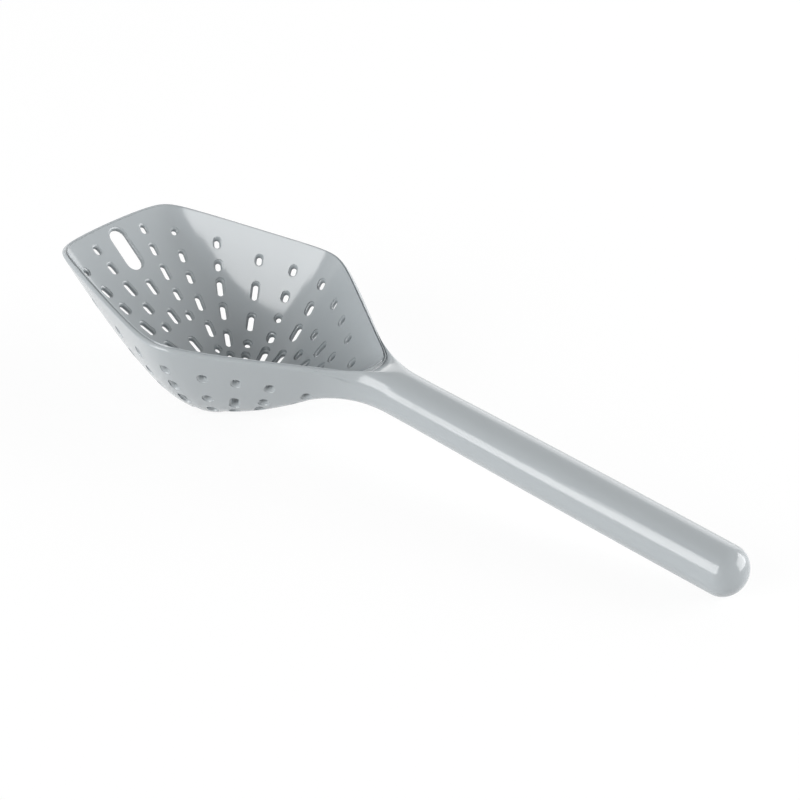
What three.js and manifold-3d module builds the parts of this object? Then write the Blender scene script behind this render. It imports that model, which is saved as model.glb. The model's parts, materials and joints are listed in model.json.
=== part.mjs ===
// A moulded scoop skimmer: a perforated bowl with a flared neck, and a thick round handle made of
// a sleeve over a stiffening core, closed by a domed cap. Millimetres.
//
// The pieces are drawn in the rim frame: z = 0 is the rim plane, x runs from the front lip towards
// the handle, and y = 0 is the plane of symmetry. The finished group is then laid down as it rests
// on a table, on the flat under the bowl and on the end of the handle.
import * as THREE from 'three';
import { ParametricGeometry } from 'three/addons/geometries/ParametricGeometry.js';
import { mergeVertices } from 'three/addons/utils/BufferGeometryUtils.js';
import Module from 'manifold-3d';

const wasm = await Module();
wasm.setup();

// Rim outline: a slightly bowed front lip, two side edges out to the shoulders, two rear edges that
// would meet at a tip, and a short back edge that cuts the tip off under the neck
const LIP_HALF_WIDTH = 33.5;
const LIP_BOW = 1.3;
const SHOULDER_X = 84.6;
const SHOULDER_HALF_WIDTH = 62.8;
const REAR_TIP_X = 167.6;
const BACK_X = 154.5;

// Bowl walls: the slope of each wall at the rim, in degrees from the rim plane, and the share of
// that slope's drop that is lost where the wall is eased the most, at the ease limit
const FRONT_SLOPE = 37.9;
const SIDE_SLOPE = 68.3;
const REAR_SLOPE = 69.3;
const BACK_SLOPE = 47.5;
const FRONT_EASE = 0.133;
const SIDE_EASE = 0.6;
const REAR_EASE = 0.535;
const BACK_EASE = 0.335;
const EASE_LIMIT = 59;

// Roundings where two walls meet, and where the walls meet the flat under the bowl
const LIP_ROUND = 9;
const SHOULDER_ROUND = 22.8;
const REAR_ROUND = 8.1;
const BACK_ROUND = 4.7;
const BASE_ROUND = 2.4;

const WALL = 2.2;
const BOWL_DEPTH = 44;
const HUB_X = 84.3;

// Handle: a slim barrel on one straight axis below the rim plane, with a domed end
const OVERALL_LENGTH = 334.3;
const HANDLE_DROP = 4.9;
const NECK_RADIUS = 9.75;
const END_RADIUS = 10.5;
const BELLY = 0.25;
const DOME_LENGTH = 9.7;
const SEAM_X = 179.3;

// Neck: where it leaves the bowl wall, where its flare ends, and how deep its root is buried
const NECK_ROOT_X = 129.3;
const NECK_FLARE_X = 164.3;
const NECK_RISE = 18;
const ROOT_BURY = 0.5;
const ROOT_POWER = 1.25;
const ROUND_POWER = 2;

// Core, socket and cap spigot
const CORE_RADIUS = 6.2;
const CLEARANCE = 0.3;
const SOCKET_DEPTH = 18;
const SPIGOT_LENGTH = 9;
const LEAD_IN = 0.8;

// Drain slots: rows that run down the wall towards the hub. Each row has its bearing from the
// front, and its slots as the middle's share of the way from the rim to the hub, and the length
const SLOT_WIDTH = 2.8;
const SLOT_LENGTH = { dot: 2.9, short: 4.2, medium: 5.5, long: 7.4 };
const SLOT_LEAN = 0.5;
const ROWS = [
  { bearing: 0, slots: [[0.361, 'long'], [0.528, 'long'], [0.695, 'long']] },
  {
    bearing: 11,
    slots: [[0.094, 'short'], [0.201, 'medium'], [0.321, 'long'], [0.441, 'medium'], [0.557, 'short']],
  },
  {
    bearing: 22,
    slots: [
      [0.137, 'dot'], [0.261, 'medium'], [0.371, 'medium'],
      [0.502, 'long'], [0.642, 'long'], [0.749, 'dot'],
    ],
  },
  {
    bearing: 36,
    slots: [
      [0.137, 'short'], [0.252, 'short'], [0.365, 'long'],
      [0.499, 'long'], [0.653, 'long'], [0.75, 'dot'],
    ],
  },
  {
    bearing: 54,
    slots: [[0.166, 'short'], [0.337, 'long'], [0.51, 'long'], [0.642, 'dot'], [0.729, 'short']],
  },
  {
    bearing: 72,
    slots: [[0.169, 'short'], [0.321, 'short'], [0.449, 'dot'], [0.567, 'short'], [0.687, 'long']],
  },
  { bearing: 90, slots: [[0.179, 'short'], [0.333, 'medium'], [0.49, 'long'], [0.668, 'long']] },
  { bearing: 108, slots: [[0.196, 'short'], [0.418, 'short'], [0.574, 'short']] },
  { bearing: 126, slots: [[0.203, 'short'], [0.437, 'long'], [0.572, 'short']] },
  { bearing: 144, slots: [[0.213, 'short'], [0.379, 'short'], [0.483, 'short']] },
  { bearing: 162, slots: [[0.249, 'short'], [0.385, 'short']] },
];

// Hanging slot in the front wall
const HANG_LENGTH = 20.4;
const HANG_WIDTH = 7.8;
const HANG_SHARE = 0.147;

// Fineness of the facets
const RIM_FACETS = 56;
const HUB_RING = 5;
const WALL_RINGS = 8;
const ROUND_FACETS = 32;
const NECK_RINGS = 12;
const BARREL_RINGS = 6;
const DOME_RINGS = 7;
const SLOT_END_FACETS = 3;

const tan = (degrees) => Math.tan(THREE.MathUtils.degToRad(degrees));

// Two walls that meet in a soft corner
const blend = (a, b, round) => (a + b + Math.hypot(a - b, round)) / 2;

// A wall that runs out on a flat: the flat stays exactly flat beyond the rounding
function settle(height, flat, round) {
  const near = Math.max(round - Math.abs(height - flat), 0) / round;
  return Math.max(height, flat) + (near * near * round) / 4;
}

// Height of one wall, from the distance inside its rim edge
function wallHeight(inside, slope, ease, lift) {
  const eased = Math.min(inside, EASE_LIMIT);
  const drop = eased * (1 - (ease * eased) / EASE_LIMIT) + (inside - eased);
  return -tan(slope) * drop + lift * Math.hypot(1, tan(slope));
}

// Distance of a point inside the rim edge from one corner of the outline to the next
function insideEdge(x, y, from, to) {
  const length = Math.hypot(to.x - from.x, to.y - from.y);
  return ((x - from.x) * (from.y - to.y) + (y - from.y) * (to.x - from.x)) / -length;
}

const LIP_CORNER = new THREE.Vector2(0, LIP_HALF_WIDTH);
const SHOULDER = new THREE.Vector2(SHOULDER_X, SHOULDER_HALF_WIDTH);
const REAR_TIP = new THREE.Vector2(REAR_TIP_X, 0);

// Height of the bowl walls over a point of the rim plane. Lift 0 is the outside, and lift WALL
// the inside
function bowlWalls(x, y, lift) {
  const half = (side) => blend(
    wallHeight(insideEdge(x, side * y, LIP_CORNER, SHOULDER), SIDE_SLOPE, SIDE_EASE, lift),
    wallHeight(insideEdge(x, side * y, SHOULDER, REAR_TIP), REAR_SLOPE, REAR_EASE, lift),
    SHOULDER_ROUND,
  );
  const sides = blend(half(1), half(-1), REAR_ROUND);
  const back = wallHeight(BACK_X - x, BACK_SLOPE, BACK_EASE, lift);
  const bowed = x - LIP_BOW * (y / LIP_HALF_WIDTH) ** 2;
  const front = wallHeight(bowed, FRONT_SLOPE, FRONT_EASE, lift);
  return blend(blend(sides, back, BACK_ROUND), front, LIP_ROUND);
}

// Handle radius along its axis
const DOME_X = OVERALL_LENGTH - DOME_LENGTH;
function handleRadius(x) {
  const along = (x - SEAM_X) / (DOME_X - SEAM_X);
  return NECK_RADIUS + (END_RADIUS - NECK_RADIUS) * along + 4 * BELLY * along * (1 - along);
}
function domeRadius(x) {
  const share = (x - DOME_X) / DOME_LENGTH;
  return handleRadius(DOME_X) * Math.sqrt(Math.max(1 - share * share, 0));
}

// The table plane, which touches the handle from below and passes under the hub
function restingTilt() {
  let steepest = Infinity;
  for (let step = 0; step <= 400; step += 1) {
    const x = SEAM_X + (OVERALL_LENGTH - SEAM_X) * (step / 400);
    const radius = x < DOME_X ? handleRadius(x) : domeRadius(x);
    steepest = Math.min(steepest, (BOWL_DEPTH - HANDLE_DROP - radius) / (x - HUB_X));
  }
  return Math.atan(steepest);
}
const TILT = restingTilt();
const tableHeight = (x) => -BOWL_DEPTH + (x - HUB_X) * Math.tan(TILT);

function bowlHeight(x, y, lift) {
  return settle(bowlWalls(x, y, lift), tableHeight(x) + lift / Math.cos(TILT), BASE_ROUND);
}

// Distance from the hub to where the bowl reaches a level, along one direction
function reach(angle, level, lift) {
  let low = 0;
  let high = OVERALL_LENGTH;
  for (let step = 0; step < 48; step += 1) {
    const middle = (low + high) / 2;
    const height = bowlHeight(HUB_X + middle * Math.cos(angle), middle * Math.sin(angle), lift);
    if (height > level) high = middle;
    else low = middle;
  }
  return (low + high) / 2;
}

// Closed solid from a three.js geometry, with its faces turned outwards
function solid(geometry) {
  geometry.deleteAttribute('normal');
  geometry.deleteAttribute('uv');
  const merged = mergeVertices(geometry, 1e-4);
  const position = merged.attributes.position;
  const corner = [0, 1, 2].map(() => new THREE.Vector3());
  const triangles = [];
  let volume = 0;
  for (let i = 0; i < merged.index.count; i += 3) {
    const [a, b, c] = [0, 1, 2].map((k) => merged.index.getX(i + k));
    if (a === b || b === c || c === a) continue;
    triangles.push([a, b, c]);
    [a, b, c].forEach((vertex, k) => corner[k].fromBufferAttribute(position, vertex));
    volume += corner[0].dot(corner[1].cross(corner[2]));
  }
  const turned = volume < 0 ? triangles.map(([a, b, c]) => [a, c, b]) : triangles;
  return new wasm.Manifold(new wasm.Mesh({
    numProp: 3,
    vertProperties: new Float32Array(position.array),
    triVerts: new Uint32Array(turned.flat()),
  }));
}

function geometryOf(body) {
  const mesh = body.getMesh();
  const geometry = new THREE.BufferGeometry();
  geometry.setAttribute('position', new THREE.BufferAttribute(mesh.vertProperties, 3));
  geometry.setIndex(new THREE.BufferAttribute(mesh.triVerts, 1));
  geometry.computeVertexNormals();
  return geometry;
}

// Solid under a level plane whose lower side is the bowl's inside or outside
function bowlBody(level, lift) {
  const stacks = WALL_RINGS + 1;
  return solid(new ParametricGeometry((u, v, point) => {
    const angle = 2 * Math.PI * u;
    const ring = Math.round(v * stacks);
    if (ring === stacks) {
      point.set(HUB_X, 0, level);
      return;
    }
    const rim = reach(angle, level, lift);
    const away = ring === 0 ? 0 : HUB_RING + ((rim - HUB_RING) * (ring - 1)) / (WALL_RINGS - 1);
    const x = HUB_X + away * Math.cos(angle);
    const y = away * Math.sin(angle);
    point.set(x, y, ring === WALL_RINGS ? level : bowlHeight(x, y, lift));
  }, RIM_FACETS, stacks));
}

// Smooth curve between two values with a given start slope and a level end
function easeOut(x, from, to, start, startSlope, end) {
  const span = to - from;
  const t = THREE.MathUtils.clamp((x - from) / span, 0, 1);
  const keep = (1 + 2 * t) * (1 - t) ** 2;
  const lean = t * (1 - t) ** 2;
  return keep * start + lean * span * startSlope + (1 - keep) * end;
}

// Half width of the bowl's outside at the height of the handle axis
function halfWidthAtAxis(x) {
  let low = 0;
  let high = SHOULDER_HALF_WIDTH;
  for (let step = 0; step < 40; step += 1) {
    const middle = (low + high) / 2;
    if (bowlWalls(x, middle, 0) > -HANDLE_DROP) high = middle;
    else low = middle;
  }
  return low;
}

const slopeOf = (curve, x) => curve(x + 0.5) - curve(x - 0.5);

// Neck: sections that start inside the bowl wall, follow it tangentially, and end round
function neckBody() {
  const keel = (x) => bowlWalls(x, 0, 0);
  const rimRear = HUB_X + reach(0, 0, 0);
  return solid(new ParametricGeometry((u, v, point) => {
    const stacks = NECK_RINGS + 2;
    const ring = THREE.MathUtils.clamp(Math.round(v * stacks) - 1, 0, NECK_RINGS);
    const capped = v === 0 || v === 1;
    const x = NECK_ROOT_X + ((SEAM_X - NECK_ROOT_X) * ring) / NECK_RINGS;
    if (capped) {
      point.set(x, 0, -HANDLE_DROP);
      return;
    }
    const width = easeOut(x, NECK_ROOT_X, NECK_FLARE_X, halfWidthAtAxis(NECK_ROOT_X) - ROOT_BURY,
      slopeOf(halfWidthAtAxis, NECK_ROOT_X), NECK_RADIUS);
    const under = -HANDLE_DROP - easeOut(x, NECK_ROOT_X, NECK_FLARE_X, keel(NECK_ROOT_X) + ROOT_BURY,
      slopeOf(keel, NECK_ROOT_X), -HANDLE_DROP - NECK_RADIUS);
    const over = easeOut(x, rimRear, rimRear + NECK_RISE, HANDLE_DROP - CLEARANCE, 0, NECK_RADIUS);
    const power = easeOut(x, NECK_ROOT_X, NECK_FLARE_X, ROOT_POWER, 0, ROUND_POWER);
    const turn = 2 * Math.PI * u;
    const side = Math.sign(Math.cos(turn)) * Math.abs(Math.cos(turn)) ** (2 / power);
    const lift = Math.abs(Math.sin(turn)) ** (2 / power);
    point.set(x, width * side, -HANDLE_DROP + (Math.sin(turn) < 0 ? -under : over) * lift);
  }, ROUND_FACETS, NECK_RINGS + 2));
}

// Slot outline, long way along x, extruded through the wall
function slotBody(length, width) {
  const half = Math.max(length - width, 0.01) / 2;
  const outline = [];
  for (const end of [1, -1]) {
    for (let facet = 0; facet <= SLOT_END_FACETS; facet += 1) {
      const turn = Math.PI * (facet / SLOT_END_FACETS - 0.5);
      const x = half + (width / 2) * Math.cos(turn);
      outline.push(new THREE.Vector2(end * x, end * (width / 2) * Math.sin(turn)));
    }
  }
  const depth = 4 * WALL;
  const geometry = new THREE.ExtrudeGeometry(new THREE.Shape(outline), { depth, bevelEnabled: false });
  return geometry.translate(0, 0, -depth / 2);
}

// Distance from the hub after a share of the way down the wall, from the rim to the hub
function downTheWall(height, rim, share) {
  const steps = 600;
  const path = [0];
  for (let step = 1; step <= steps; step += 1) {
    const from = rim * (1 - (step - 1) / steps);
    const to = rim * (1 - step / steps);
    path.push(path[step - 1] + Math.hypot(from - to, height(from) - height(to)));
  }
  return rim * (1 - path.findIndex((walked) => walked >= share * path[steps]) / steps);
}

// Slot cutter at a share of the way down the wall, on one bearing from the front
function slotOnWall(bearing, share, length, width) {
  const angle = Math.PI - THREE.MathUtils.degToRad(bearing);
  const height = (away) => bowlHeight(HUB_X + away * Math.cos(angle), away * Math.sin(angle), WALL / 2);
  const away = downTheWall(height, reach(angle, 0, WALL / 2), share);
  const step = 0.1;
  const slope = Math.atan2(height(away + step) - height(away - step), 2 * step);
  const place = new THREE.Matrix4()
    .makeTranslation(HUB_X, 0, height(away))
    .multiply(new THREE.Matrix4().makeRotationZ(angle))
    .multiply(new THREE.Matrix4().makeTranslation(away, 0, 0))
    .multiply(new THREE.Matrix4().makeRotationY(-slope * SLOT_LEAN));
  return solid(slotBody(length, width).applyMatrix4(place));
}

function drainSlots() {
  return ROWS.flatMap(({ bearing, slots }) => {
    const sides = bearing === 0 ? [1] : [1, -1];
    return slots.flatMap(([share, name]) => sides.map(
      (side) => slotOnWall(side * bearing, share, SLOT_LENGTH[name], SLOT_WIDTH),
    ));
  });
}

// Round body on the handle axis, from [x, radius] pairs that start and end on the axis
function turned(profile) {
  const points = profile.map(([x, radius]) => new THREE.Vector2(radius, x));
  return new THREE.LatheGeometry(points, ROUND_FACETS)
    .rotateZ(-Math.PI / 2)
    .translate(0, 0, -HANDLE_DROP);
}

const BORE_RADIUS = CORE_RADIUS + CLEARANCE;
const SOCKET_X = SEAM_X - SOCKET_DEPTH;
const SLEEVE_X = SEAM_X + CLEARANCE;
const SPIGOT_X = DOME_X - SPIGOT_LENGTH;
const CAP_X = DOME_X + CLEARANCE;

function scoopBowl() {
  const cavity = bowlBody(NECK_RADIUS, WALL);
  const socket = solid(turned([
    [SOCKET_X, 0], [SOCKET_X, BORE_RADIUS], [SEAM_X + WALL, BORE_RADIUS], [SEAM_X + WALL, 0],
  ]));
  const hang = slotOnWall(0, HANG_SHARE, HANG_LENGTH, HANG_WIDTH);
  const cuts = [cavity, socket, hang, ...drainSlots()];
  const body = bowlBody(0, 0).add(neckBody());
  return geometryOf(cuts.reduce((rest, cut) => rest.subtract(cut), body));
}

function handleCore() {
  const from = SOCKET_X + CLEARANCE;
  const to = SPIGOT_X - CLEARANCE;
  return turned([
    [from, 0], [from, CORE_RADIUS - LEAD_IN], [from + LEAD_IN, CORE_RADIUS],
    [to - LEAD_IN, CORE_RADIUS], [to, CORE_RADIUS - LEAD_IN], [to, 0],
  ]);
}

function handleSleeve() {
  const barrel = [];
  for (let ring = 0; ring <= BARREL_RINGS; ring += 1) {
    const x = SLEEVE_X + ((DOME_X - SLEEVE_X) * ring) / BARREL_RINGS;
    barrel.push([x, handleRadius(x)]);
  }
  const bore = [[DOME_X, BORE_RADIUS], [SLEEVE_X, BORE_RADIUS]];
  return turned([...barrel, ...bore, barrel[0]]);
}

function endCap() {
  const dome = [];
  for (let ring = 0; ring <= DOME_RINGS; ring += 1) {
    const turn = (Math.PI / 2) * (ring / DOME_RINGS);
    const x = CAP_X + (OVERALL_LENGTH - CAP_X) * Math.sin(turn);
    dome.push([x, ring === DOME_RINGS ? 0 : handleRadius(DOME_X) * Math.cos(turn)]);
  }
  return turned([
    [SPIGOT_X, 0], [SPIGOT_X, CORE_RADIUS - LEAD_IN], [SPIGOT_X + LEAD_IN, CORE_RADIUS],
    [CAP_X, CORE_RADIUS], ...dome,
  ]);
}

const plastic = (color, roughness) => new THREE.MeshStandardMaterial({ color, roughness, metalness: 0 });

function piece(name, geometry, material) {
  const mesh = new THREE.Mesh(geometry, material);
  mesh.name = name;
  return mesh;
}

const lying = new THREE.Group();
lying.add(
  piece('scoop_bowl', scoopBowl(), plastic(0xa9b0b3, 0.22)),
  piece('handle_sleeve', handleSleeve(), plastic(0xa9b0b3, 0.22)),
  piece('end_cap', endCap(), plastic(0xa9b0b3, 0.22)),
  piece('handle_core', handleCore(), plastic(0x8f9699, 0.6)),
);
lying.rotation.y = TILT;
lying.updateMatrixWorld(true);

// The origin is the middle of the footprint, at table height
const box = new THREE.Box3().setFromObject(lying, true);
lying.position.set(-(box.min.x + box.max.x) / 2, -(box.min.y + box.max.y) / 2, -box.min.z);

const skimmer = new THREE.Group();
skimmer.add(lying);
export default skimmer;
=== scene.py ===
"""Moulded scoop skimmer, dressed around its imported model: perforated bowl, flared neck, round handle."""
import json
import logging
import math
from dataclasses import dataclass, field
from enum import Enum
from typing import Any, Sequence, Union

import bmesh
import bpy
import numpy as np
from mathutils import Matrix, Vector
from mathutils.kdtree import KDTree


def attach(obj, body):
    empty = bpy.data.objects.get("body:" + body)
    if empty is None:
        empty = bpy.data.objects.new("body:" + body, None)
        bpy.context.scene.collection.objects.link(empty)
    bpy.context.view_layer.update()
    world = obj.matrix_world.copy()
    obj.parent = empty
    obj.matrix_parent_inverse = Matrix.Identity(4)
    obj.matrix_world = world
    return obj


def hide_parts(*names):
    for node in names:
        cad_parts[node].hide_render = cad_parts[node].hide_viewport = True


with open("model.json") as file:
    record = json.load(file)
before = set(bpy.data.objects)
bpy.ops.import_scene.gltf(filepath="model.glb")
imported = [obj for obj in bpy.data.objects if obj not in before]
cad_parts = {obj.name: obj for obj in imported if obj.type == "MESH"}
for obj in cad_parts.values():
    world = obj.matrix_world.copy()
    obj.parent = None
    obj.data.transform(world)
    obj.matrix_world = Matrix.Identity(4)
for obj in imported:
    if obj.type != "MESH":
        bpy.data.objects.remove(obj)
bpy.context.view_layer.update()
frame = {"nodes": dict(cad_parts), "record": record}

BODY = "root"
# How deep each point lies inside the wall of a slot, 0 at the faces and 1 in the throat; the finish
# darkens the slots by it as painted shade.
PAINTED_SHADE_DEPTH = "painted_shade_depth"
METRES = 0.001
SEARCH_STEPS = 48
REST_PLACES = 401
WALL_PLACES = 1600
SAME_PLACE = 0.002
MERGE_BELOW = 1e-4
SMOOTH_BELOW = math.radians(38)
AHEAD = np.array([1.0, 0.0, 0.0])

log = logging.getLogger("skimmer")
Number = Union[float, np.ndarray]
Colour = tuple[float, float, float]
Place = tuple[float, float, float]
Patch = dict[tuple[int, int], np.ndarray]


# Wall and rim

def ease_in_out(share: float) -> float:
    """Share from 0 to 1 with level ends."""
    return share * share * (3 - 2 * share)


def soft_max(a: Number, b: Number, round_mm: float) -> Number:
    """Higher of the heights of two walls, with the corner between them rounded by so many millimetres."""
    return (a + b + np.hypot(a - b, round_mm)) / 2


@dataclass(frozen=True)
class Barrel:
    """Round handle on one straight axis below the rim plane, in millimetres."""

    drop: float = 4.9
    neck_radius: float = 9.75
    end_radius: float = 10.5
    belly: float = 0.25
    seam_x: float = 179.3
    length: float = 334.3
    dome: float = 9.7
    core_radius: float = 6.2
    clearance: float = 0.3
    socket: float = 18.0
    spigot: float = 9.0

    @property
    def dome_x(self) -> float:
        """Where the dome starts."""
        return self.length - self.dome

    @property
    def bore(self) -> float:
        """Radius of the bore that takes the core."""
        return self.core_radius + self.clearance

    def radius(self, x: Number) -> Number:
        """Radius along the axis, dome included.

        Args:
            x: Distance from the front lip.

        Returns:
            The radius there.
        """
        along = (np.minimum(x, self.dome_x) - self.seam_x) / (self.dome_x - self.seam_x)
        barrel = self.neck_radius + (self.end_radius - self.neck_radius) * along
        barrel = barrel + 4 * self.belly * along * (1 - along)
        into = np.clip((x - self.dome_x) / self.dome, 0, 1)
        return barrel * np.sqrt(1 - into * into)

    def ring(self, x: float, radius: float, count: int) -> np.ndarray:
        """Points of one ring round the axis.

        Args:
            x: Distance from the front lip.
            radius: Radius of the ring.
            count: Number of points.

        Returns:
            Array of points, one row each.
        """
        turn = 2 * np.pi * np.arange(count) / count
        across = radius * np.cos(turn)
        return np.stack([np.full(count, x), across, radius * np.sin(turn) - self.drop], axis=1)

    def point(self, x: float, radius: float, turn: float) -> np.ndarray:
        """Point at a distance from the axis and an angle round it, 0 to the side."""
        return np.array([x, radius * math.cos(turn), radius * math.sin(turn) - self.drop])


@dataclass(frozen=True)
class BowlForm:
    """Bowl as planar walls with soft corners over the rim plane, in millimetres."""

    lip_half: float = 33.5
    lip_bow: float = 1.3
    shoulder_x: float = 84.6
    shoulder_half: float = 62.8
    tip_x: float = 167.6
    back_x: float = 154.5
    front_slope: float = 37.9
    side_slope: float = 68.3
    rear_slope: float = 69.3
    back_slope: float = 47.5
    front_ease: float = 0.133
    side_ease: float = 0.6
    rear_ease: float = 0.535
    back_ease: float = 0.335
    ease_limit: float = 59.0
    lip_round: float = 9.0
    shoulder_round: float = 22.8
    rear_round: float = 8.1
    back_round: float = 4.7
    base_round: float = 2.4
    wall: float = 2.2
    depth: float = 44.0
    hub_x: float = 84.3
    barrel: Barrel = field(default_factory=Barrel)

    def wall_height(self, inside: Number, slope: float, ease: float, lift: float) -> Number:
        """Height of one wall from the distance inside its rim edge.

        Args:
            inside: Distance inside the edge.
            slope: Slope at the rim, in degrees.
            ease: Share of the drop lost at the ease limit.
            lift: Distance of the wanted surface from the outside.

        Returns:
            The height under the rim plane, as a negative number.
        """
        steep = math.tan(math.radians(slope))
        eased = np.minimum(inside, self.ease_limit)
        fall = eased * (1 - ease * eased / self.ease_limit) + (inside - eased)
        return -steep * fall + lift * math.hypot(1, steep)

    @staticmethod
    def inside_edge(x: Number, y: Number, start: Sequence[float], end: Sequence[float]) -> Number:
        """Distance of points inside the rim edge from one corner to the next.

        Args:
            x: Position along the skimmer.
            y: Position across it.
            start: First corner.
            end: Second corner.

        Returns:
            The distance, positive inside the bowl.
        """
        length = math.hypot(end[0] - start[0], end[1] - start[1])
        cross = (x - start[0]) * (start[1] - end[1]) + (y - start[1]) * (end[0] - start[0])
        return -cross / length

    def walls(self, x: Number, y: Number, lift: float) -> Number:
        """Height of the walls alone, without the flat under the bowl.

        Args:
            x: Position along the skimmer.
            y: Position across it.
            lift: Distance of the wanted surface from the outside.

        Returns:
            The height under the rim plane.
        """
        lip = (0.0, self.lip_half)
        shoulder = (self.shoulder_x, self.shoulder_half)
        tip = (self.tip_x, 0.0)
        halves = []
        for side in (1, -1):
            flank = self.inside_edge(x, side * y, lip, shoulder)
            rear = self.inside_edge(x, side * y, shoulder, tip)
            halves.append(
                soft_max(
                    self.wall_height(flank, self.side_slope, self.side_ease, lift),
                    self.wall_height(rear, self.rear_slope, self.rear_ease, lift),
                    self.shoulder_round,
                )
            )
        sides = soft_max(halves[0], halves[1], self.rear_round)
        back = self.wall_height(self.back_x - x, self.back_slope, self.back_ease, lift)
        bowed = x - self.lip_bow * (y / self.lip_half) ** 2
        front = self.wall_height(bowed, self.front_slope, self.front_ease, lift)
        return soft_max(soft_max(sides, back, self.back_round), front, self.lip_round)

    @property
    def tilt(self) -> float:
        """Angle of the rim plane when the bowl and the handle's end rest on a table."""
        x = np.linspace(self.barrel.seam_x, self.barrel.length, REST_PLACES)
        clear = self.depth - self.barrel.drop - self.barrel.radius(x)
        return math.atan(float(np.min(clear / (x - self.hub_x))))

    def height(self, x: Number, y: Number, lift: float) -> Number:
        """Height of the bowl with its flat base.

        Args:
            x: Position along the skimmer.
            y: Position across it.
            lift: Distance of the wanted surface from the outside.

        Returns:
            The height under the rim plane.
        """
        tilt = self.tilt
        flat = -self.depth + (x - self.hub_x) * math.tan(tilt) + lift / math.cos(tilt)
        side = self.walls(x, y, lift)
        near = np.maximum(self.base_round - np.abs(side - flat), 0) / self.base_round
        return np.maximum(side, flat) + near * near * self.base_round / 4

    def on_ray(self, angle: Number, away: Number, lift: float) -> Number:
        """Height at a distance from the hub along a direction, 0 towards the handle."""
        return self.height(self.hub_x + away * np.cos(angle), away * np.sin(angle), lift)

    def rise(self, angle: Number, away: Number, lift: float, step: float) -> Number:
        """Rise of the wall along a direction, from a step before a distance to a step beyond it."""
        return self.on_ray(angle, away + step, lift) - self.on_ray(angle, away - step, lift)

    def reach(self, angle: np.ndarray, level: float, lift: float) -> np.ndarray:
        """Distance from the hub to where the bowl rises to a level.

        Args:
            angle: Directions in the rim plane.
            level: Height to reach.
            lift: Distance of the wanted surface from the outside.

        Returns:
            One distance for each direction.
        """
        low = np.zeros_like(angle)
        high = np.full_like(angle, self.barrel.length)
        for _ in range(SEARCH_STEPS):
            middle = (low + high) / 2
            above = self.on_ray(angle, middle, lift) > level
            high = np.where(above, middle, high)
            low = np.where(above, low, middle)
        return (low + high) / 2

    def resting(self) -> Matrix:
        """Placement of the rim frame, in millimetres, on the table, in metres.

        Returns:
            The matrix that lays a finished piece down.
        """
        mount = next(m for m in frame["record"]["mounts"] if m["name"] == "table_rest")
        turn = Matrix.Rotation(self.tilt, 4, "Y")
        hub = turn @ Vector((self.hub_x, 0, -self.depth)) * METRES
        shift = Vector(mount["pos_m"]) - hub
        return Matrix.Translation(shift) @ turn @ Matrix.Scale(METRES, 4)


# Modelling by hand, ring by ring

class RingSweep:
    """A mesh pulled out of one circle, ring after ring, in edit mode."""

    def __init__(self, name: str, rings: Sequence[np.ndarray]) -> None:
        """Add the circle, put its points on the first ring and pull the others out of it.

        Args:
            name: Name of the new object.
            rings: Points of each ring, in spoke order.
        """
        self.count = len(rings[0])
        self.rings = 0
        bpy.ops.object.select_all(action="DESELECT")
        bpy.ops.mesh.primitive_circle_add(vertices=self.count, radius=1.0, fill_type="NOTHING")
        self.object = bpy.context.active_object
        self.object.name = name
        self.object.data.name = name
        bpy.ops.object.mode_set(mode="EDIT")
        bpy.ops.mesh.select_mode(type="VERT")
        work = self.work
        spoke = work.verts.layers.int.new("spoke")
        work.verts.layers.int.new("ring")
        for vertex in work.verts:
            turn = math.atan2(vertex.co.y, vertex.co.x)
            vertex[spoke] = round(turn / (2 * math.pi) * self.count) % self.count
        bpy.ops.mesh.select_all(action="SELECT")
        self.place(rings[0])
        for ring in rings[1:]:
            self.pull(ring)

    @property
    def work(self) -> bmesh.types.BMesh:
        """The mesh being edited."""
        return bmesh.from_edit_mesh(self.object.data)

    @property
    def numbers(self) -> tuple[Any, Any]:
        """Layers that hold the spoke and the ring of each point."""
        layers = self.work.verts.layers.int
        return layers["spoke"], layers["ring"]

    def update(self) -> None:
        """Bring the object up to date with the mesh being edited."""
        bmesh.update_edit_mesh(self.object.data, loop_triangles=False, destructive=False)

    def place(self, ring: np.ndarray) -> None:
        """Move the selected points to their places on a ring.

        Args:
            ring: Points of the ring, in spoke order.
        """
        spoke, number = self.numbers
        for vertex in self.work.verts:
            if vertex.select:
                vertex.co = ring[vertex[spoke]]
                vertex[number] = self.rings
        self.update()
        self.rings += 1

    def pull(self, ring: np.ndarray) -> None:
        """Extrude the open edge to the next ring."""
        bpy.ops.mesh.extrude_region()
        self.place(ring)

    def select_ring(self, number: int) -> None:
        """Select one ring alone.

        Args:
            number: Which ring, counted from the first.
        """
        bpy.ops.mesh.select_all(action="DESELECT")
        _, layer = self.numbers
        for vertex in self.work.verts:
            vertex.select = vertex[layer] == number
        self.work.select_flush_mode()
        self.update()

    def fill_ends(self) -> None:
        """Close the open edge and the first ring with a face each."""
        bpy.ops.mesh.edge_face_add()
        self.select_ring(0)
        bpy.ops.mesh.edge_face_add()

    def join_ends(self) -> None:
        """Merge the last ring with the first, which lie on each other."""
        bpy.ops.mesh.select_all(action="SELECT")
        bpy.ops.mesh.remove_doubles(threshold=MERGE_BELOW)

    def done(self) -> bpy.types.Object:
        """Leave edit mode with all faces outwards.

        Returns:
            The finished object.
        """
        if self.work.calc_volume(signed=True) < 0:
            bpy.ops.mesh.select_all(action="SELECT")
            bpy.ops.mesh.flip_normals()
        bpy.ops.object.mode_set(mode="OBJECT")
        return self.object


class SlotLength(Enum):
    """Clear lengths of the drain slots, in millimetres."""

    DOT = 2.4
    SHORT = 3.7
    MEDIUM = 5.0
    LONG = 6.9


DOT, SHORT, MEDIUM, LONG = SlotLength


@dataclass(frozen=True)
class SlotRow:
    """One row of drain slots: its bearing from the front, and each slot's share of the way to the hub."""

    bearing: float
    slots: Sequence[tuple[float, SlotLength]]


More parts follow.
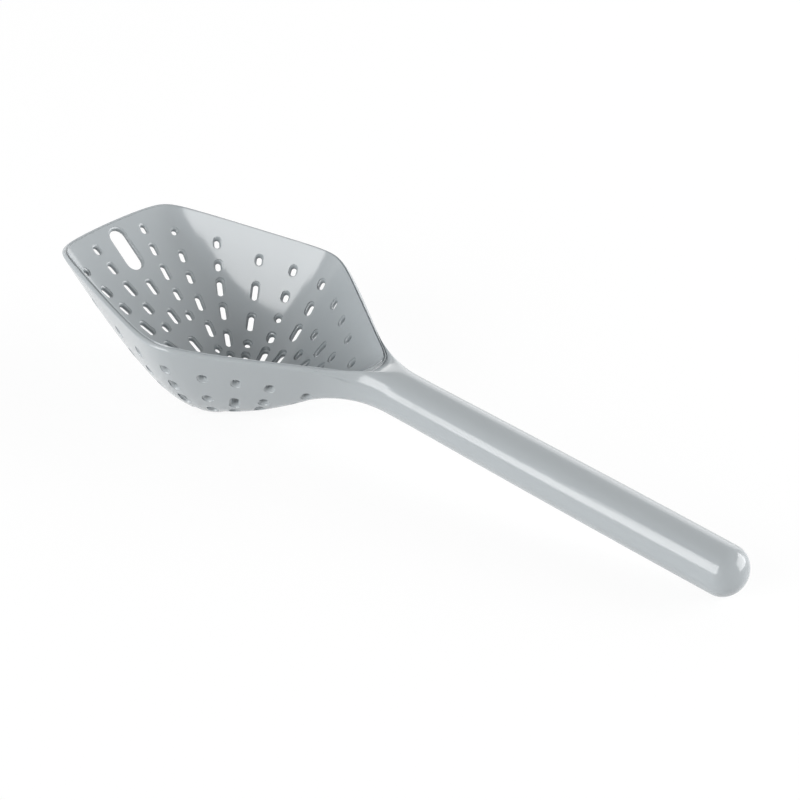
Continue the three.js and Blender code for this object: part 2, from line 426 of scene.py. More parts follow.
@dataclass
class DrainSlots:
    """Drain slots and hanging slot, as rounded cutters set along the wall."""

    form: BowlForm
    width: float = 2.3
    lean: float = 0.5
    edge_inside: float = 0.95
    edge_outside: float = 1.15
    hang_length: float = 20.4
    hang_width: float = 7.8
    hang_share: float = 0.147
    end_points: int = 10
    edge_steps: int = 4
    least_length: float = 0.01
    beyond: float = 2.0
    probe: float = 0.4
    patterns: dict[tuple[float, float], bpy.types.Mesh] = field(default_factory=dict)

    @property
    def rows(self) -> list[SlotRow]:
        """Rows of one side, mirrored where they are off the middle."""
        return [
            SlotRow(0, ((0.361, LONG), (0.528, LONG), (0.695, LONG))),
            SlotRow(11, ((0.094, SHORT), (0.201, MEDIUM), (0.321, LONG), (0.441, MEDIUM), (0.557, SHORT))),
            SlotRow(22, ((0.137, DOT), (0.261, MEDIUM), (0.371, MEDIUM),
                         (0.502, LONG), (0.642, LONG), (0.749, DOT))),
            SlotRow(36, ((0.137, SHORT), (0.252, SHORT), (0.365, LONG),
                         (0.499, LONG), (0.653, LONG), (0.75, DOT))),
            SlotRow(54, ((0.166, SHORT), (0.337, LONG), (0.51, LONG), (0.642, DOT), (0.729, SHORT))),
            SlotRow(72, ((0.169, SHORT), (0.321, SHORT), (0.449, DOT), (0.567, SHORT), (0.687, LONG))),
            SlotRow(90, ((0.179, SHORT), (0.333, MEDIUM), (0.49, LONG), (0.668, LONG))),
            SlotRow(108, ((0.196, SHORT), (0.418, SHORT), (0.574, SHORT))),
            SlotRow(126, ((0.203, SHORT), (0.437, LONG), (0.572, SHORT))),
            SlotRow(144, ((0.213, SHORT), (0.379, SHORT), (0.483, SHORT))),
            SlotRow(162, ((0.249, SHORT), (0.385, SHORT))),
        ]

    def outline(self, length: float, width: float, outset: float) -> np.ndarray:
        """Round-ended slot outline, long way along the first axis.

        Args:
            length: Length over the round ends.
            width: Width of the slot.
            outset: How far the outline is moved outwards.

        Returns:
            Points in the plane of the wall.
        """
        half = max(length - width, self.least_length) / 2
        radius = width / 2 + outset
        turn = (np.arange(self.end_points) / (self.end_points - 1) - 0.5) * np.pi
        x = half + radius * np.cos(turn)
        y = radius * np.sin(turn)
        return np.stack([np.concatenate([x, -x]), np.concatenate([y, -y])], axis=1)

    def pattern(self, length: float, width: float) -> bpy.types.Mesh:
        """Cutter for one slot size, modelled once, with edges that flare at both faces of the wall.

        Args:
            length: Length over the round ends.
            width: Width of the slot.

        Returns:
            The cutter's mesh, with its height measured across the wall.
        """
        key = (length, width)
        if key in self.patterns:
            return self.patterns[key]
        half = self.form.wall / 2
        steps = np.arange(self.edge_steps + 1) / self.edge_steps * np.pi / 2
        inside = half - self.edge_inside * (1 - np.sin(steps))
        outside = -half + self.edge_outside * (1 - np.sin(steps[::-1]))
        flare_in = self.edge_inside * (1 - np.cos(steps))
        flare_out = self.edge_outside * (1 - np.cos(steps[::-1]))
        over = half + self.beyond
        levels = np.concatenate([[-over], outside, inside, [over]])
        outsets = np.concatenate([[self.edge_outside], flare_out, flare_in, [self.edge_inside]])
        rings = []
        for level, outset in zip(levels, outsets):
            plan = self.outline(length, width, float(outset))
            rings.append(np.column_stack([plan, np.full(len(plan), level)]))
        sweep = RingSweep("slot_cutter", rings)
        sweep.fill_ends()
        cutter = sweep.done()
        mesh = cutter.data
        # Share of the way into the wall from the nearer face, kept on the points as the mask of painted
        # shade in the slots.
        level = np.array([vertex.co.z for vertex in mesh.vertices])
        shade_share = np.minimum((level + half) / self.edge_outside, (half - level) / self.edge_inside)
        mark = mesh.attributes.new(PAINTED_SHADE_DEPTH, "FLOAT", "POINT")
        mark.data.foreach_set("value", np.clip(shade_share, 0, 1).astype(np.float32))
        bpy.data.objects.remove(cutter)
        self.patterns[key] = mesh
        return mesh

    def set_on_wall(self, bearing: float, share: float, length: float, width: float) -> bpy.types.Object:
        """Copy a cutter to a place on the wall.

        Args:
            bearing: Direction from the hub, in degrees from the front.
            share: How far the slot's middle is on the way from the rim to the hub.
            length: Clear length over the round ends.
            width: Clear width of the slot.

        Returns:
            The cutter.
        """
        form = self.form
        lift = form.wall / 2
        angle = math.pi - math.radians(bearing)
        rim = float(form.reach(np.array([angle]), 0.0, lift)[0])
        away = np.linspace(rim, 0, WALL_PLACES)
        height = form.on_ray(angle, away, lift)
        path = np.concatenate([[0], np.cumsum(np.hypot(np.diff(away), np.diff(height)))])
        middle = float(np.interp(share * path[-1], path, away))
        ray = Vector((math.cos(angle), math.sin(angle), 0))
        spot = Vector((form.hub_x, 0, 0)) + ray * middle
        spot.z = float(form.on_ray(angle, middle, lift))
        small = self.probe
        slope = math.atan2(float(form.rise(angle, middle, lift, small)), 2 * small)
        gain_x = form.height(spot.x + small, spot.y, lift) - form.height(spot.x - small, spot.y, lift)
        gain_y = form.height(spot.x, spot.y + small, lift) - form.height(spot.x, spot.y - small, lift)
        normal = Vector((-float(gain_x) / (2 * small), -float(gain_y) / (2 * small), 1)).normalized()
        along = (ray * math.cos(slope) + Vector((0, 0, math.sin(slope)))).normalized()
        across = normal.cross(along).normalized()
        turned = slope * self.lean
        axis = Vector((0, 0, math.cos(turned))) - ray * math.sin(turned)
        axis = axis / axis.dot(normal)
        place = Matrix((along, across, axis)).transposed().to_4x4()
        place.translation = spot
        mesh = self.pattern(length, width).copy()
        mesh.transform(place)
        cutter = bpy.data.objects.new("slot_cutter", mesh)
        bpy.context.collection.objects.link(cutter)
        return cutter

    def cutters(self) -> bpy.types.Object:
        """All cutters of the bowl as one object.

        Returns:
            The joined cutters.
        """
        made = [self.set_on_wall(0, self.hang_share, self.hang_length, self.hang_width)]
        for row in self.rows:
            for share, step in row.slots:
                for bearing in sorted({row.bearing, -row.bearing}):
                    made.append(self.set_on_wall(bearing, share, step.value, self.width))
        bpy.ops.object.select_all(action="DESELECT")
        for cutter in made:
            cutter.select_set(True)
        bpy.context.view_layer.objects.active = made[0]
        bpy.ops.object.join()
        log.info("slots cut: %d", len(made))
        return bpy.context.active_object


# Shader expressions

class Value:
    """A socket in a material, with Python's operators turned into Math nodes."""

    def __init__(self, nodes: "Nodes", socket: bpy.types.NodeSocket) -> None:
        """Wrap a socket.

        Args:
            nodes: The material's node maker.
            socket: The socket that carries the value.
        """
        self.nodes = nodes
        self.socket = socket

    def _math(self, operation: str, first: Any, second: Any) -> "Value":
        """Add one Math node for two values or numbers."""
        return self.nodes.add("ShaderNodeMath", {"operation": operation}, {0: first, 1: second})

    def __add__(self, other: Any) -> "Value":
        """Sum."""
        return self._math("ADD", self, other)

    def __mul__(self, other: Any) -> "Value":
        """Product."""
        return self._math("MULTIPLY", self, other)

    def __sub__(self, other: Any) -> "Value":
        """Difference."""
        return self._math("SUBTRACT", self, other)

    def __rsub__(self, other: Any) -> "Value":
        """Difference from a number."""
        return self._math("SUBTRACT", other, self)

    def at_most(self, other: Any) -> "Value":
        """The smaller of two values."""
        return self._math("MINIMUM", self, other)

    def at_least(self, other: Any) -> "Value":
        """The larger of two values."""
        return self._math("MAXIMUM", self, other)


class Nodes:
    """Node maker for one node tree."""

    def __init__(self, tree: bpy.types.NodeTree) -> None:
        """Start from an empty tree.

        Args:
            tree: The tree to fill.
        """
        self.tree = tree
        tree.nodes.clear()

    def node(self, kind: str, settings: dict[str, Any], inputs: dict[Any, Any]) -> bpy.types.Node:
        """Add a node.

        Args:
            kind: The node's type.
            settings: Properties that are set first.
            inputs: Values or links of its sockets, by name or number.

        Returns:
            The node.
        """
        made = self.tree.nodes.new(kind)
        for name, setting in settings.items():
            setattr(made, name, setting)
        for name, value in inputs.items():
            if isinstance(value, Value):
                self.tree.links.new(value.socket, made.inputs[name])
            else:
                made.inputs[name].default_value = value
        return made

    def add(self, kind: str, settings: dict[str, Any], inputs: dict[Any, Any], output: Any = 0) -> Value:
        """Add a node and take one of its outputs, by name or number."""
        return Value(self, self.node(kind, settings, inputs).outputs[output])

    def noise(self, place: Value, scale: float, detail: float = 2.0, roughness: float = 0.5) -> Value:
        """Noise between 0 and 1.

        Args:
            place: Coordinates.
            scale: Frequency per metre.
            detail: Octaves.
            roughness: Weight of the finer octaves.

        Returns:
            The noise value.
        """
        inputs = {"Vector": place, "Scale": scale, "Detail": detail, "Roughness": roughness}
        return self.add("ShaderNodeTexNoise", {}, inputs, "Fac")

    def blend(self, factor: Value, first: Any, second: Any) -> Value:
        """Mix two colours by the share of the second."""
        inputs = {"Factor": factor, "A": first, "B": second}
        return self.add("ShaderNodeMix", {"data_type": "RGBA"}, inputs, "Result")


def new_material(name: str) -> tuple[bpy.types.Material, Nodes]:
    """Start a node material.

    Args:
        name: Name of the material.

    Returns:
        The material and the maker of its nodes.
    """
    made = bpy.data.materials.new(name)
    made.use_nodes = True
    return made, Nodes(made.node_tree)


@dataclass(frozen=True)
class MouldedPlastic:
    """Glossy pale blue-grey plastic with a faint moulded skin, and painted shade that darkens the walls of
    the slots.
    """

    name: str = "blue_grey_plastic"
    colour: Colour = (0.395, 0.425, 0.443)
    pale: Colour = (0.411, 0.443, 0.459)
    # Painted shade: the colour that the walls of the slots are darkened to at their throat.
    painted_slot_shade: Colour = (0.22, 0.242, 0.253)
    cloud_scale: float = 28.0
    cloud_detail: float = 3.0
    cloud_share: float = 0.8
    speck_scale: float = 2600.0
    speck_detail: float = 1.0
    speck_share: float = 0.2
    roughness: float = 0.14
    wear_scale: float = 160.0
    wear_detail: float = 4.0
    wear_fineness: float = 0.6
    wear_spread: float = 0.07
    refraction: float = 1.55
    skin_depth: float = 0.000012
    skin_scale: float = 900.0
    skin_strength: float = 0.35

    def material(self) -> bpy.types.Material:
        """Make the material.

        Returns:
            A node material that reads the pieces' own coordinates.
        """
        made, nodes = new_material(self.name)
        place = nodes.add("ShaderNodeTexCoord", {}, {}, "Object")
        cloud = nodes.noise(place, self.cloud_scale, self.cloud_detail)
        speck = nodes.noise(place, self.speck_scale, self.speck_detail)
        drift = (cloud * self.cloud_share + speck * self.speck_share).at_most(1.0)
        colour = nodes.blend(drift, (*self.colour, 1), (*self.pale, 1))
        # Painted shade in the slots: the colour is blended towards a darker one by how deep each point
        # lies in a slot's wall.
        depth = nodes.add("ShaderNodeAttribute", {"attribute_name": PAINTED_SHADE_DEPTH}, {}, "Fac")
        colour = nodes.blend(depth, colour, (*self.painted_slot_shade, 1))
        wear = nodes.noise(place, self.wear_scale, self.wear_detail, self.wear_fineness)
        rough = wear * self.wear_spread + (self.roughness - self.wear_spread / 2)
        skin = nodes.noise(place, self.skin_scale)
        relief = {"Strength": self.skin_strength, "Distance": self.skin_depth, "Height": skin}
        bump = nodes.add("ShaderNodeBump", {}, relief, "Normal")
        inputs = {"Base Color": colour, "Roughness": rough, "IOR": self.refraction, "Normal": bump}
        shader = nodes.add("ShaderNodeBsdfPrincipled", {}, inputs, "BSDF")
        nodes.node("ShaderNodeOutputMaterial", {}, {"Surface": shader})
        return made


@dataclass(frozen=True)
class CorePlastic:
    """Plain darker plastic of the bar inside the handle."""

    name: str = "core_plastic"
    colour: Colour = (0.22, 0.235, 0.25)
    paler: float = 1.15
    grain_scale: float = 700.0
    grain_detail: float = 3.0
    least_rough: float = 0.5
    rough_spread: float = 0.2

    def material(self) -> bpy.types.Material:
        """Make the material.

        Returns:
            A node material with a fine grain.
        """
        made, nodes = new_material(self.name)
        place = nodes.add("ShaderNodeTexCoord", {}, {}, "Object")
        grain = nodes.noise(place, self.grain_scale, self.grain_detail)
        shade = nodes.blend(grain, (*self.colour, 1), (*(c * self.paler for c in self.colour), 1))
        inputs = {"Base Color": shade, "Roughness": grain * self.rough_spread + self.least_rough}
        shader = nodes.add("ShaderNodeBsdfPrincipled", {}, inputs, "BSDF")
        nodes.node("ShaderNodeOutputMaterial", {}, {"Surface": shader})
        return made


# Pieces

def pick(piece: bpy.types.Object) -> None:
    """Select one object alone and make it active.

    Args:
        piece: The object.
    """
    bpy.ops.object.select_all(action="DESELECT")
    piece.select_set(True)
    bpy.context.view_layer.objects.active = piece


def cut_away(target: bpy.types.Object, cutter: bpy.types.Object) -> None:
    """Cut one object out of another and drop the cutter.

    Args:
        target: The object that is cut.
        cutter: The object that is cut away.
    """
    pick(target)
    cut = target.modifiers.new("cut", "BOOLEAN")
    cut.operation = "DIFFERENCE"
    cut.solver = "EXACT"
    cut.object = cutter
    bpy.ops.object.modifier_apply(modifier=cut.name)
    # Carry the mask of painted shade in the slots over to the cut bowl.
    copy_shade_depth(target.data, cutter.data)
    bpy.data.objects.remove(cutter)


def copy_shade_depth(target: bpy.types.Mesh, cutter: bpy.types.Mesh) -> None:
    """Give the points that a cutter left in a mesh the slot depth that they have on the cutter, which the
    finish uses as the mask of painted shade in the slots.

    Args:
        target: The mesh that was cut.
        cutter: The cutter's mesh, in the same place.
    """
    tree = KDTree(len(cutter.vertices))
    for number, vertex in enumerate(cutter.vertices):
        tree.insert(vertex.co, number)
    tree.balance()
    known = cutter.attributes[PAINTED_SHADE_DEPTH].data
    mark = target.attributes[PAINTED_SHADE_DEPTH].data
    for number, vertex in enumerate(target.vertices):
        _, nearest, gap = tree.find(vertex.co)
        mark[number].value = known[nearest].value if gap < SAME_PLACE else 0.0


def lay_down(piece: bpy.types.Object, form: BowlForm, finish: bpy.types.Material) -> None:
    """Give a piece its finish, put it where it rests and smooth its faces.

    Args:
        piece: Piece modelled in the rim frame.
        form: The bowl, which knows how the skimmer rests.
        finish: Material of the piece.
    """
    pick(piece)
    piece.data.materials.clear()
    piece.data.materials.append(finish)
    piece.matrix_world = form.resting()
    bpy.ops.object.transform_apply(location=True, rotation=True, scale=True)
    bpy.ops.object.shade_smooth_by_angle(angle=SMOOTH_BELOW)


@dataclass
class ScoopBowl:
    """Perforated bowl with its rim and neck, one moulding."""

    form: BowlForm
    slots: DrainSlots
    spokes: int = 288
    hub_ring: float = 4.2
    wall_rings: int = 34
    lip_steps: int = 8
    lip_rise: float = 0.2
    lip_wall: float = 1.5
    lip_square: float = 0.4
    lip_taper: float = 0.012
    lip_hold: float = 0.99
    root_spokes: int = 23
    corner_share: float = 0.31
    root_depth: float = 0.42
    flare_steps: int = 20
    flare_low_x: float = 167.0
    flare_top_x: float = 171.0
    side_low: float = 14.0
    side_top: float = 30.0
    pull: float = 0.9
    lift: float = 3.0
    straight_steps: int = 3
    smoothing: int = 12
    smooth_share: float = 0.5
    smooth_margin: float = 0.5
    probe: float = 0.3

    @property
    def top(self) -> int:
        """Ring on top of the lip, counted from the last ring of the wall."""
        return self.lip_steps // 2

    @property
    def angles(self) -> np.ndarray:
        """Directions of the spokes, the first towards the handle."""
        return 2 * np.pi * np.arange(self.spokes) / self.spokes

    @property
    def off_middle(self) -> np.ndarray:
        """Signed number of each spoke from the handle's side."""
        number = np.arange(self.spokes)
        return np.where(number > self.spokes // 2, number - self.spokes, number)

    def at(self, away: np.ndarray, lift: float) -> np.ndarray:
        """Points of one ring on the inside or outside of the wall.

        Args:
            away: Distance from the hub for each spoke.
            lift: Distance of the surface from the outside.

        Returns:
            Points of the ring.
        """
        x = self.form.hub_x + away * np.cos(self.angles)
        y = away * np.sin(self.angles)
        return np.stack([x, y, self.form.height(x, y, lift)], axis=1)

    def bowl_rings(self) -> list[np.ndarray]:
        """All rings of the bowl, up the outside, over the lip and down the inside.

        Returns:
            Rings in the order in which they are pulled.
        """
        form = self.form
        half = self.lip_wall / 2
        middle = form.reach(self.angles, self.lip_rise - half, half)
        slope = np.arctan2(form.rise(self.angles, middle, half, self.probe), 2 * self.probe)
        outer = middle + half * np.sin(slope)
        inner = middle - half * np.sin(slope)
        share = np.abs(self.off_middle) / self.root_spokes
        root = np.where(share < 1, 1 - self.root_depth * (1 - share**2) ** 2, 1.0)
        rings = []
        ring_shares = np.append(np.linspace(0, self.lip_hold, self.wall_rings), 1.0)
        for along in ring_shares:
            rings.append(self.at(self.hub_ring + (outer * root - self.hub_ring) * along, 0.0))
        edge_out = self.at(outer, 0.0)
        edge_in = self.at(inner, self.lip_wall)
        centre = (edge_out + edge_in) / 2
        chord = (edge_out - edge_in) / 2
        level = np.cos(slope)
        up = np.stack([level * np.cos(self.angles), level * np.sin(self.angles), np.sin(slope)], axis=1)
        reach = np.linalg.norm(chord, axis=1, keepdims=True)
        lip = []
        for step in range(1, self.lip_steps + 1):
            turn = math.pi * step / self.lip_steps
            aside = math.copysign(abs(math.cos(turn)) ** self.lip_square, math.cos(turn))
            lip.append(centre + chord * aside + up * reach * abs(math.sin(turn)) ** self.lip_square)
        inside_root = (share < 1)[:, None]
        foot = rings[self.wall_rings]
        for step in range(1, self.top):
            straight = foot + (lip[self.top - 1] - foot) * step / self.top
            lip[step - 1] = np.where(inside_root, straight, lip[step - 1])
        rings.extend(lip)
        for along in ring_shares[-2::-1]:
            thin = max(0.0, 1 - (1 - along) / self.lip_taper)
            away = self.hub_ring + (inner - self.hub_ring) * along
            rings.append(self.at(away, form.wall + (self.lip_wall - form.wall) * thin**2))
        return rings

    def patch_turns(self) -> dict[tuple[int, int], float]:
        """Where each point of the neck's patch of faces comes to lie round the handle.

        Returns:
            The angle round the axis, by spoke and ring.
        """
        turns = {}
        for offset in range(-self.root_spokes, self.root_spokes + 1):
            share = abs(offset) / self.root_spokes
            low = -90 + (90 + self.side_low) * share
            high = 90 - (90 - self.side_top) * share
            for step in range(self.top + 1):
                turn = low + (high - low) * (step / self.top)
                key = (offset % self.spokes, self.wall_rings + step)
                turns[key] = math.radians(turn if offset >= 0 else 180 - turn)
        return turns

    def patch_leads(self, foot: np.ndarray) -> Patch:
        """Directions in which the points of the patch leave the bowl.

        Args:
            foot: The last ring of the wall, under the patch.

        Returns:
            A direction of length 1, by spoke and ring.
        """
        form = self.form
        leads: Patch = {}
        for offset in range(-self.root_spokes, self.root_spokes + 1):
            spoke = offset % self.spokes
            side = 1 if offset >= 0 else -1
            along_rim = np.array([form.tip_x - form.shoulder_x, -side * form.shoulder_half, 0.0])
            along_rim = along_rim / np.linalg.norm(along_rim)
            share = abs(offset) / self.root_spokes
            angle = self.angles[spoke]
            away = math.hypot(foot[spoke][0] - form.hub_x, foot[spoke][1])
            rise = float(form.rise(angle, away, 0.0, self.probe)) / (2 * self.probe)
            uphill = np.array([math.cos(angle), math.sin(angle), rise])
            uphill = uphill / np.linalg.norm(uphill)
            for step in range(self.top + 1):
                level = step / self.top
                ahead = uphill * (1 - level) + AHEAD * level
                blend = share**2
                if step == self.top:
                    blend = ease_in_out(min(share / self.corner_share, 1.0))
                lead = ahead * (1 - blend) + along_rim * blend
                leads[(spoke, self.wall_rings + step)] = lead / np.linalg.norm(lead)
        return leads

    def neck_rings(self, rings: list[np.ndarray]) -> list[Patch]:
        """Places of the neck's patch of faces, from the bowl to the seam and down the socket.

        Args:
            rings: The bowl's rings.

        Returns:
            For each pull, the place of each point of the patch by spoke and ring.
        """
        barrel = self.form.barrel
        turns = self.patch_turns()
        leads = self.patch_leads(rings[self.wall_rings])
        ends: Patch = {}
        for key, turn in turns.items():
            level = (math.sin(turn) + 1) / 2
            x = self.flare_low_x + (self.flare_top_x - self.flare_low_x) * level
            ends[key] = barrel.point(x, barrel.neck_radius, turn)
        stages: list[Patch] = []
        for step in range(1, self.flare_steps + 1):
            # Weights of a curve of fifth degree without bend at either end
            t = step / self.flare_steps
            keep = 1 - t**3 * (10 - 15 * t + 6 * t * t)
            out = t - t**3 * (6 - 8 * t + 3 * t * t)
            into = t**3 * (7 * t - 4 - 3 * t * t)
            stage = {}
            for key, end in ends.items():
                start = rings[key[1]][key[0]]
                reach = np.linalg.norm(end - start) * self.pull
                lead = reach * leads[key]
                if key[1] == self.wall_rings + self.top:
                    lead = lead + np.array([0, 0, self.lift * self.pull * (end[2] - start[2])])
                stage[key] = keep * start + out * lead + (1 - keep) * end + into * (reach * AHEAD)
            stages.append(stage)
        for step in range(1, self.straight_steps + 1):
            stage = {}
            for key, end in ends.items():
                further = (barrel.seam_x - end[0]) * step / self.straight_steps
                stage[key] = end + further * AHEAD
            stages.append(stage)
        for x in (barrel.seam_x, barrel.seam_x - barrel.socket):
            stages.append({key: barrel.point(x, barrel.bore, turn) for key, turn in turns.items()})
        for stage in stages:
            self.fill_patch(stage)
        return stages

    def fill_patch(self, stage: Patch) -> None:
        """Put the inner points of a patch on straight lines from its lower to its upper edge.

        Args:
            stage: Places of the patch, changed in place.
        """
        for offset in range(1 - self.root_spokes, self.root_spokes):
            spoke = offset % self.spokes
            low = stage[(spoke, self.wall_rings)]
            high = stage[(spoke, self.wall_rings + self.top)]
            for step in range(1, self.top):
                stage[(spoke, self.wall_rings + step)] = low + (high - low) * step / self.top

    def pull_neck(self, sweep: RingSweep, stages: list[Patch]) -> None:
        """Select the patch behind the rim, pull the neck out of it and smooth its skin.

        Args:
            sweep: The bowl being modelled.
            stages: Places of the patch for each pull.
        """
        bpy.ops.mesh.select_all(action="DESELECT")
        bpy.ops.mesh.select_mode(type="FACE")
        spoke, ring = sweep.numbers
        wanted = stages[0].keys()
        for face in sweep.work.faces:
            face.select = all((v[spoke], v[ring]) in wanted for v in face.verts)
        sweep.work.select_flush_mode()
        sweep.update()
        for stage in stages:
            bpy.ops.mesh.extrude_region()
            spoke, ring = sweep.numbers
            for vertex in sweep.work.verts:
                if vertex.select:
                    vertex.co = stage[(vertex[spoke], vertex[ring])]
            sweep.update()
        barrel = self.form.barrel
        within = (barrel.bore + barrel.neck_radius) / 2
        first_x = self.form.back_x + self.smooth_margin
        last_x = self.flare_top_x - self.smooth_margin
        bpy.ops.mesh.select_all(action="DESELECT")
        bpy.ops.mesh.select_mode(type="VERT")
        for vertex in sweep.work.verts:
            skin = math.hypot(vertex.co.y, vertex.co.z + barrel.drop) > within
            vertex.select = skin and first_x < vertex.co.x < last_x
        sweep.work.select_flush_mode()
        sweep.update()
        bpy.ops.mesh.vertices_smooth(factor=self.smooth_share, repeat=self.smoothing)

    def build(self, finish: bpy.types.Material) -> bpy.types.Object:
        """Model the bowl and its neck, cut the slots and dress it.

        Args:
            finish: Material of the bowl.

        Returns:
            The finished piece.
        """
        rings = self.bowl_rings()
        sweep = RingSweep("scoop_bowl_shell", rings)
        sweep.fill_ends()
        self.pull_neck(sweep, self.neck_rings(rings))
        bowl = sweep.done()
        cut_away(bowl, self.slots.cutters())
        lay_down(bowl, self.form, finish)
        return bowl


@dataclass
class Handle:
    """Sleeve and domed end of the handle."""

    form: BowlForm
    points: int = 96
    sleeve_rings: int = 48
    dome_rings: int = 22
    chamfer: float = 0.8
    tip_share: float = 0.00015

    def sleeve(self, finish: bpy.types.Material) -> bpy.types.Object:
        """Model the sleeve with its bore.

        Args:
            finish: Material of the sleeve.

        Returns:
            The finished piece.
        """
        barrel = self.form.barrel
        places = np.linspace(barrel.seam_x, barrel.dome_x, self.sleeve_rings + 1)
        rings = [barrel.ring(x, float(barrel.radius(x)), self.points) for x in places]
        rings.append(barrel.ring(barrel.dome_x, barrel.bore, self.points))
        rings.append(barrel.ring(barrel.seam_x, barrel.bore, self.points))
        sweep = RingSweep("handle_sleeve_skin", [*rings, rings[0]])
        sweep.join_ends()
        sleeve = sweep.done()
        lay_down(sleeve, self.form, finish)
        return sleeve

    def cap(self, finish: bpy.types.Material) -> bpy.types.Object:
        """Model the domed end with its spigot.

        Args:
            finish: Material of the cap.

        Returns:
            The finished piece.
        """
        barrel = self.form.barrel
        spigot_x = barrel.dome_x - barrel.spigot
        rings = [
            barrel.ring(spigot_x, barrel.core_radius - self.chamfer, self.points),
            barrel.ring(spigot_x + self.chamfer, barrel.core_radius, self.points),
            barrel.ring(barrel.dome_x, barrel.core_radius, self.points),
        ]
        for turn in np.linspace(0, np.pi / 2, self.dome_rings + 1)[:-1]:
            x = barrel.dome_x + barrel.dome * math.sin(turn)
            rings.append(barrel.ring(x, float(barrel.radius(x)), self.points))
        tip = barrel.length - barrel.dome * self.tip_share
        rings.append(barrel.ring(tip, float(barrel.radius(tip)), self.points))
        sweep = RingSweep("end_cap_dome", rings)
        sweep.fill_ends()
        cap = sweep.done()
        lay_down(cap, self.form, finish)
        return cap


# Studio

@dataclass(frozen=True)
class Softbox:
    """One rectangular studio light that looks at a point."""

    name: str
    place: Place
    width: float
    height: float
    power: float
    target: Place = (0.0, 0.0, 0.03)

    def build(self) -> bpy.types.Object:
        """Add the light.

        Returns:
            The light's object.
        """
        lamp = bpy.data.lights.new(self.name, "AREA")
        lamp.shape = "RECTANGLE"
        lamp.size = self.width
        lamp.size_y = self.height
        lamp.energy = self.power
        made = bpy.data.objects.new(self.name, lamp)
        made.location = self.place
        look = Vector(self.target) - Vector(self.place)
        made.rotation_euler = look.to_track_quat("-Z", "Y").to_euler()
        bpy.context.collection.objects.link(made)
        return made


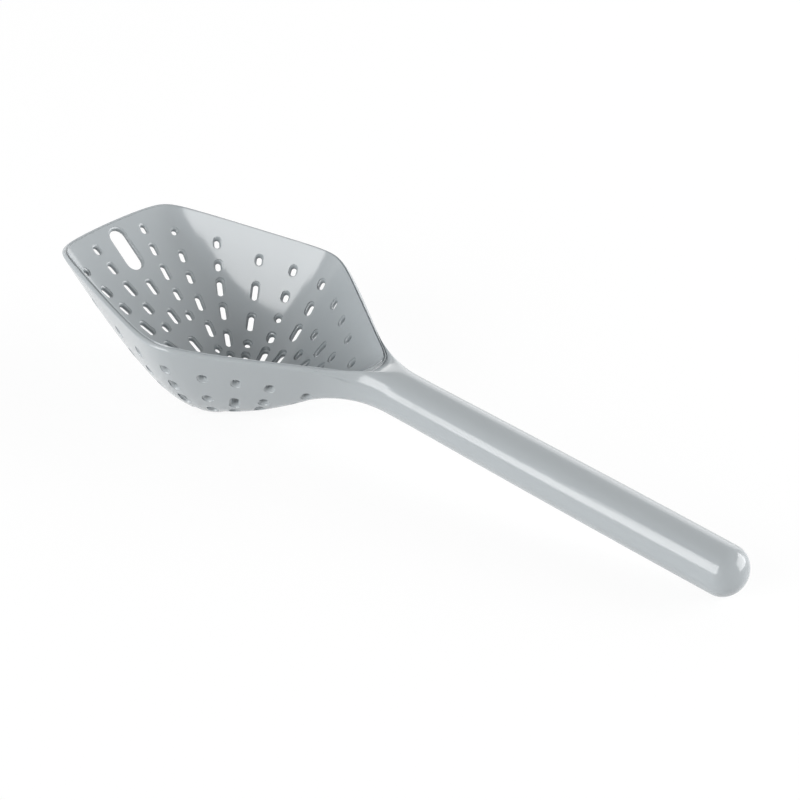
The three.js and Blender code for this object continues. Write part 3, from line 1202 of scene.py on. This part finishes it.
@dataclass
class Studio:
    """Pale floor, white surroundings, soft lights and the camera."""

    form: BowlForm
    azimuth: float = 34.5509
    elevation: float = 32.6251
    roll: float = 8.3
    distance: float = 1192.461
    slide_right: float = -127.711
    slide_up: float = 77.017
    lens: float = 124.319
    sensor: float = 36.0
    clip_end: float = 50.0
    floor_size: float = 12.0
    floor_gap: float = 0.0004
    floor_paint: Colour = (0.9, 0.9, 0.9)
    floor_glow: float = 1.03
    glow_share: float = 0.88
    wall_fade: float = 1.25
    dark_along: float = 1.25
    dark_across: float = 0.95
    dark_from: float = 0.35
    wall_light: float = 1.25
    least_light: float = 0.18
    softboxes: tuple[Softbox, ...] = (
        Softbox("tall_panel", (-0.278, -2.5, 1.2), 1.467, 1.94, 50.0, (-0.278, 0.0, 1.2)),
        Softbox("low_panel", (-1.2155, -2.5, 0.715), 0.409, 1.33, 9.6, (-1.2155, 0.0, 0.715)),
        Softbox("back_panel", (1.577, 1.467, 0.72), 2.2, 1.42, 46.0, (0.16, 0.0, 0.03)),
        Softbox("rim_panel", (-1.0, 2.05, 0.9), 2.2, 1.3, 10.5),
    )

    def camera(self) -> bpy.types.Object:
        """Set the camera at the fitted place, given in the rim frame.

        Returns:
            The camera's object.
        """
        a = math.radians(self.azimuth)
        e = math.radians(self.elevation)
        r = math.radians(self.roll)
        back = Vector((math.sin(a) * math.cos(e), -math.cos(a) * math.cos(e), math.sin(e)))
        level = Vector((math.cos(a), math.sin(a), 0.0))
        upright = back.cross(level)
        right = level * math.cos(r) + upright * math.sin(r)
        up = upright * math.cos(r) - level * math.sin(r)
        stand = back * self.distance - right * self.slide_right - up * self.slide_up
        resting = self.form.resting()
        turn = Matrix.Rotation(self.form.tilt, 3, "Y")
        axes = Matrix((turn @ right, turn @ up, turn @ back)).transposed().to_4x4()
        data = bpy.data.cameras.new("camera")
        data.lens = self.lens
        data.sensor_width = self.sensor
        data.clip_end = self.clip_end
        made = bpy.data.objects.new("camera", data)
        made.matrix_world = Matrix.Translation(resting @ stand) @ axes
        bpy.context.collection.objects.link(made)
        bpy.context.scene.camera = made
        return made

    def floor(self) -> bpy.types.Object:
        """Add the pale floor.

        Returns:
            The floor's object.
        """
        bpy.ops.object.select_all(action="DESELECT")
        bpy.ops.mesh.primitive_plane_add(size=self.floor_size, location=(0, 0, -self.floor_gap))
        made = bpy.context.active_object
        made.name = "floor"
        bpy.ops.object.transform_apply(location=True, rotation=True, scale=True)
        material, nodes = new_material("pale_floor")
        path = nodes.node("ShaderNodeLightPath", {}, {})
        seen = Value(nodes, path.outputs["Is Camera Ray"])
        mirrored = Value(nodes, path.outputs["Is Glossy Ray"])
        paint = nodes.add("ShaderNodeBsdfDiffuse", {}, {"Color": (*self.floor_paint, 1)})
        glow = nodes.add("ShaderNodeEmission", {}, {"Color": (1, 1, 1, 1), "Strength": self.floor_glow})
        share = seen.at_least(mirrored) * self.glow_share
        mixed = nodes.add("ShaderNodeMixShader", {}, {0: share, 1: paint, 2: glow})
        nodes.node("ShaderNodeOutputMaterial", {}, {"Surface": mixed})
        made.data.materials.append(material)
        return made

    def world(self) -> None:
        """Surround the scene with even light, white where it is seen or mirrored."""
        world = bpy.data.worlds.new("studio")
        world.use_nodes = True
        bpy.context.scene.world = world
        nodes = Nodes(world.node_tree)
        path = nodes.node("ShaderNodeLightPath", {}, {})
        seen = Value(nodes, path.outputs["Is Camera Ray"])
        glossy = Value(nodes, path.outputs["Is Glossy Ray"])
        through = Value(nodes, path.outputs["Is Transmission Ray"])
        white = seen.at_least(glossy).at_least(through)
        view = nodes.add("ShaderNodeTexCoord", {}, {}, "Generated")
        parts = nodes.node("ShaderNodeSeparateXYZ", {}, {"Vector": view})
        along, across, up = (Value(nodes, parts.outputs[axis]) for axis in "XYZ")
        wall = (1 - up * self.wall_fade).at_least(0).at_most(1)
        side = along * self.dark_along - across * self.dark_across
        dark = (side - self.dark_from).at_least(0).at_most(1)
        room = wall * (1 - dark) * self.wall_light + self.least_light
        strength = white.at_least(room)
        light = nodes.add("ShaderNodeBackground", {}, {"Color": (1, 1, 1, 1), "Strength": strength})
        nodes.node("ShaderNodeOutputWorld", {}, {"Surface": light})

    def build(self) -> None:
        """Add everything that stands round the skimmer."""
        self.camera()
        self.floor()
        self.world()
        for softbox in self.softboxes:
            softbox.build()
        bpy.context.scene.view_settings.view_transform = "Standard"


def main() -> None:
    """Build the studio and the skimmer."""
    logging.basicConfig(level=logging.INFO, format="%(name)s: %(message)s")
    form = BowlForm()
    Studio(form).build()
    plastic = MouldedPlastic().material()
    bowl = ScoopBowl(form, DrainSlots(form)).build(plastic)
    handle = Handle(form)
    sleeve = handle.sleeve(plastic)
    cap = handle.cap(plastic)
    core = frame["nodes"]["handle_core"]
    core.data.materials.clear()
    core.data.materials.append(CorePlastic().material())
    for piece, node in ((bowl, "scoop_bowl"), (sleeve, "handle_sleeve"), (cap, "end_cap")):
        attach(piece, BODY)
        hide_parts(node)
        log.info("%s: %d faces", piece.name, len(piece.data.polygons))


if __name__ == "__main__":
    main()
